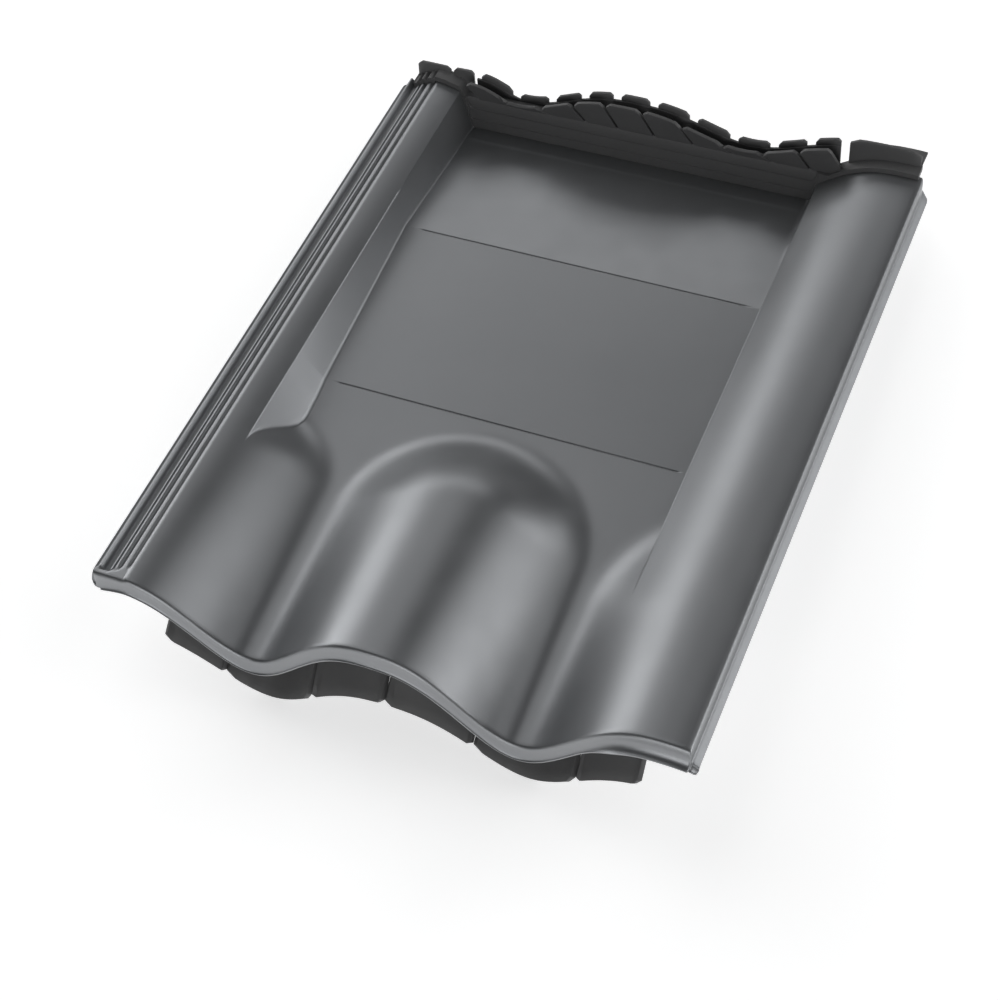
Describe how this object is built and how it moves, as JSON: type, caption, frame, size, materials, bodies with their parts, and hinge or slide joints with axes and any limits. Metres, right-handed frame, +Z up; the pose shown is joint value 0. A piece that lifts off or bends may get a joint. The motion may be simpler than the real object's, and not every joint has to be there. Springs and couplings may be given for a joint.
{
  "type": "metal roof tile",
  "caption": "Pressed sheet-metal roof tile with a flat field, rolled waves, side interlock ribs, and rubber seals at head and foot.",
  "frame": {"origin": "centre of the bounding box, on the floor that the tile lies on", "axes": "+X across the tile from the ribbed side to the cover roll, +Y from the foot to the head, +Z up from the floor; the sheet pitches down towards its head by about 6 degrees, as it rests on its foot seal and head edge"},
  "size_m": [0.33, 0.421, 0.0754],
  "materials": {
    "coated_sheet": "satin dark grey powder coat",
    "seal_rubber": "matt black moulded rubber"
  },
  "bodies": {
    "root": {"tile_sheet": "coated_sheet", "head_seal": "seal_rubber", "foot_seal": "seal_rubber"}
  },
  "joints": []
}
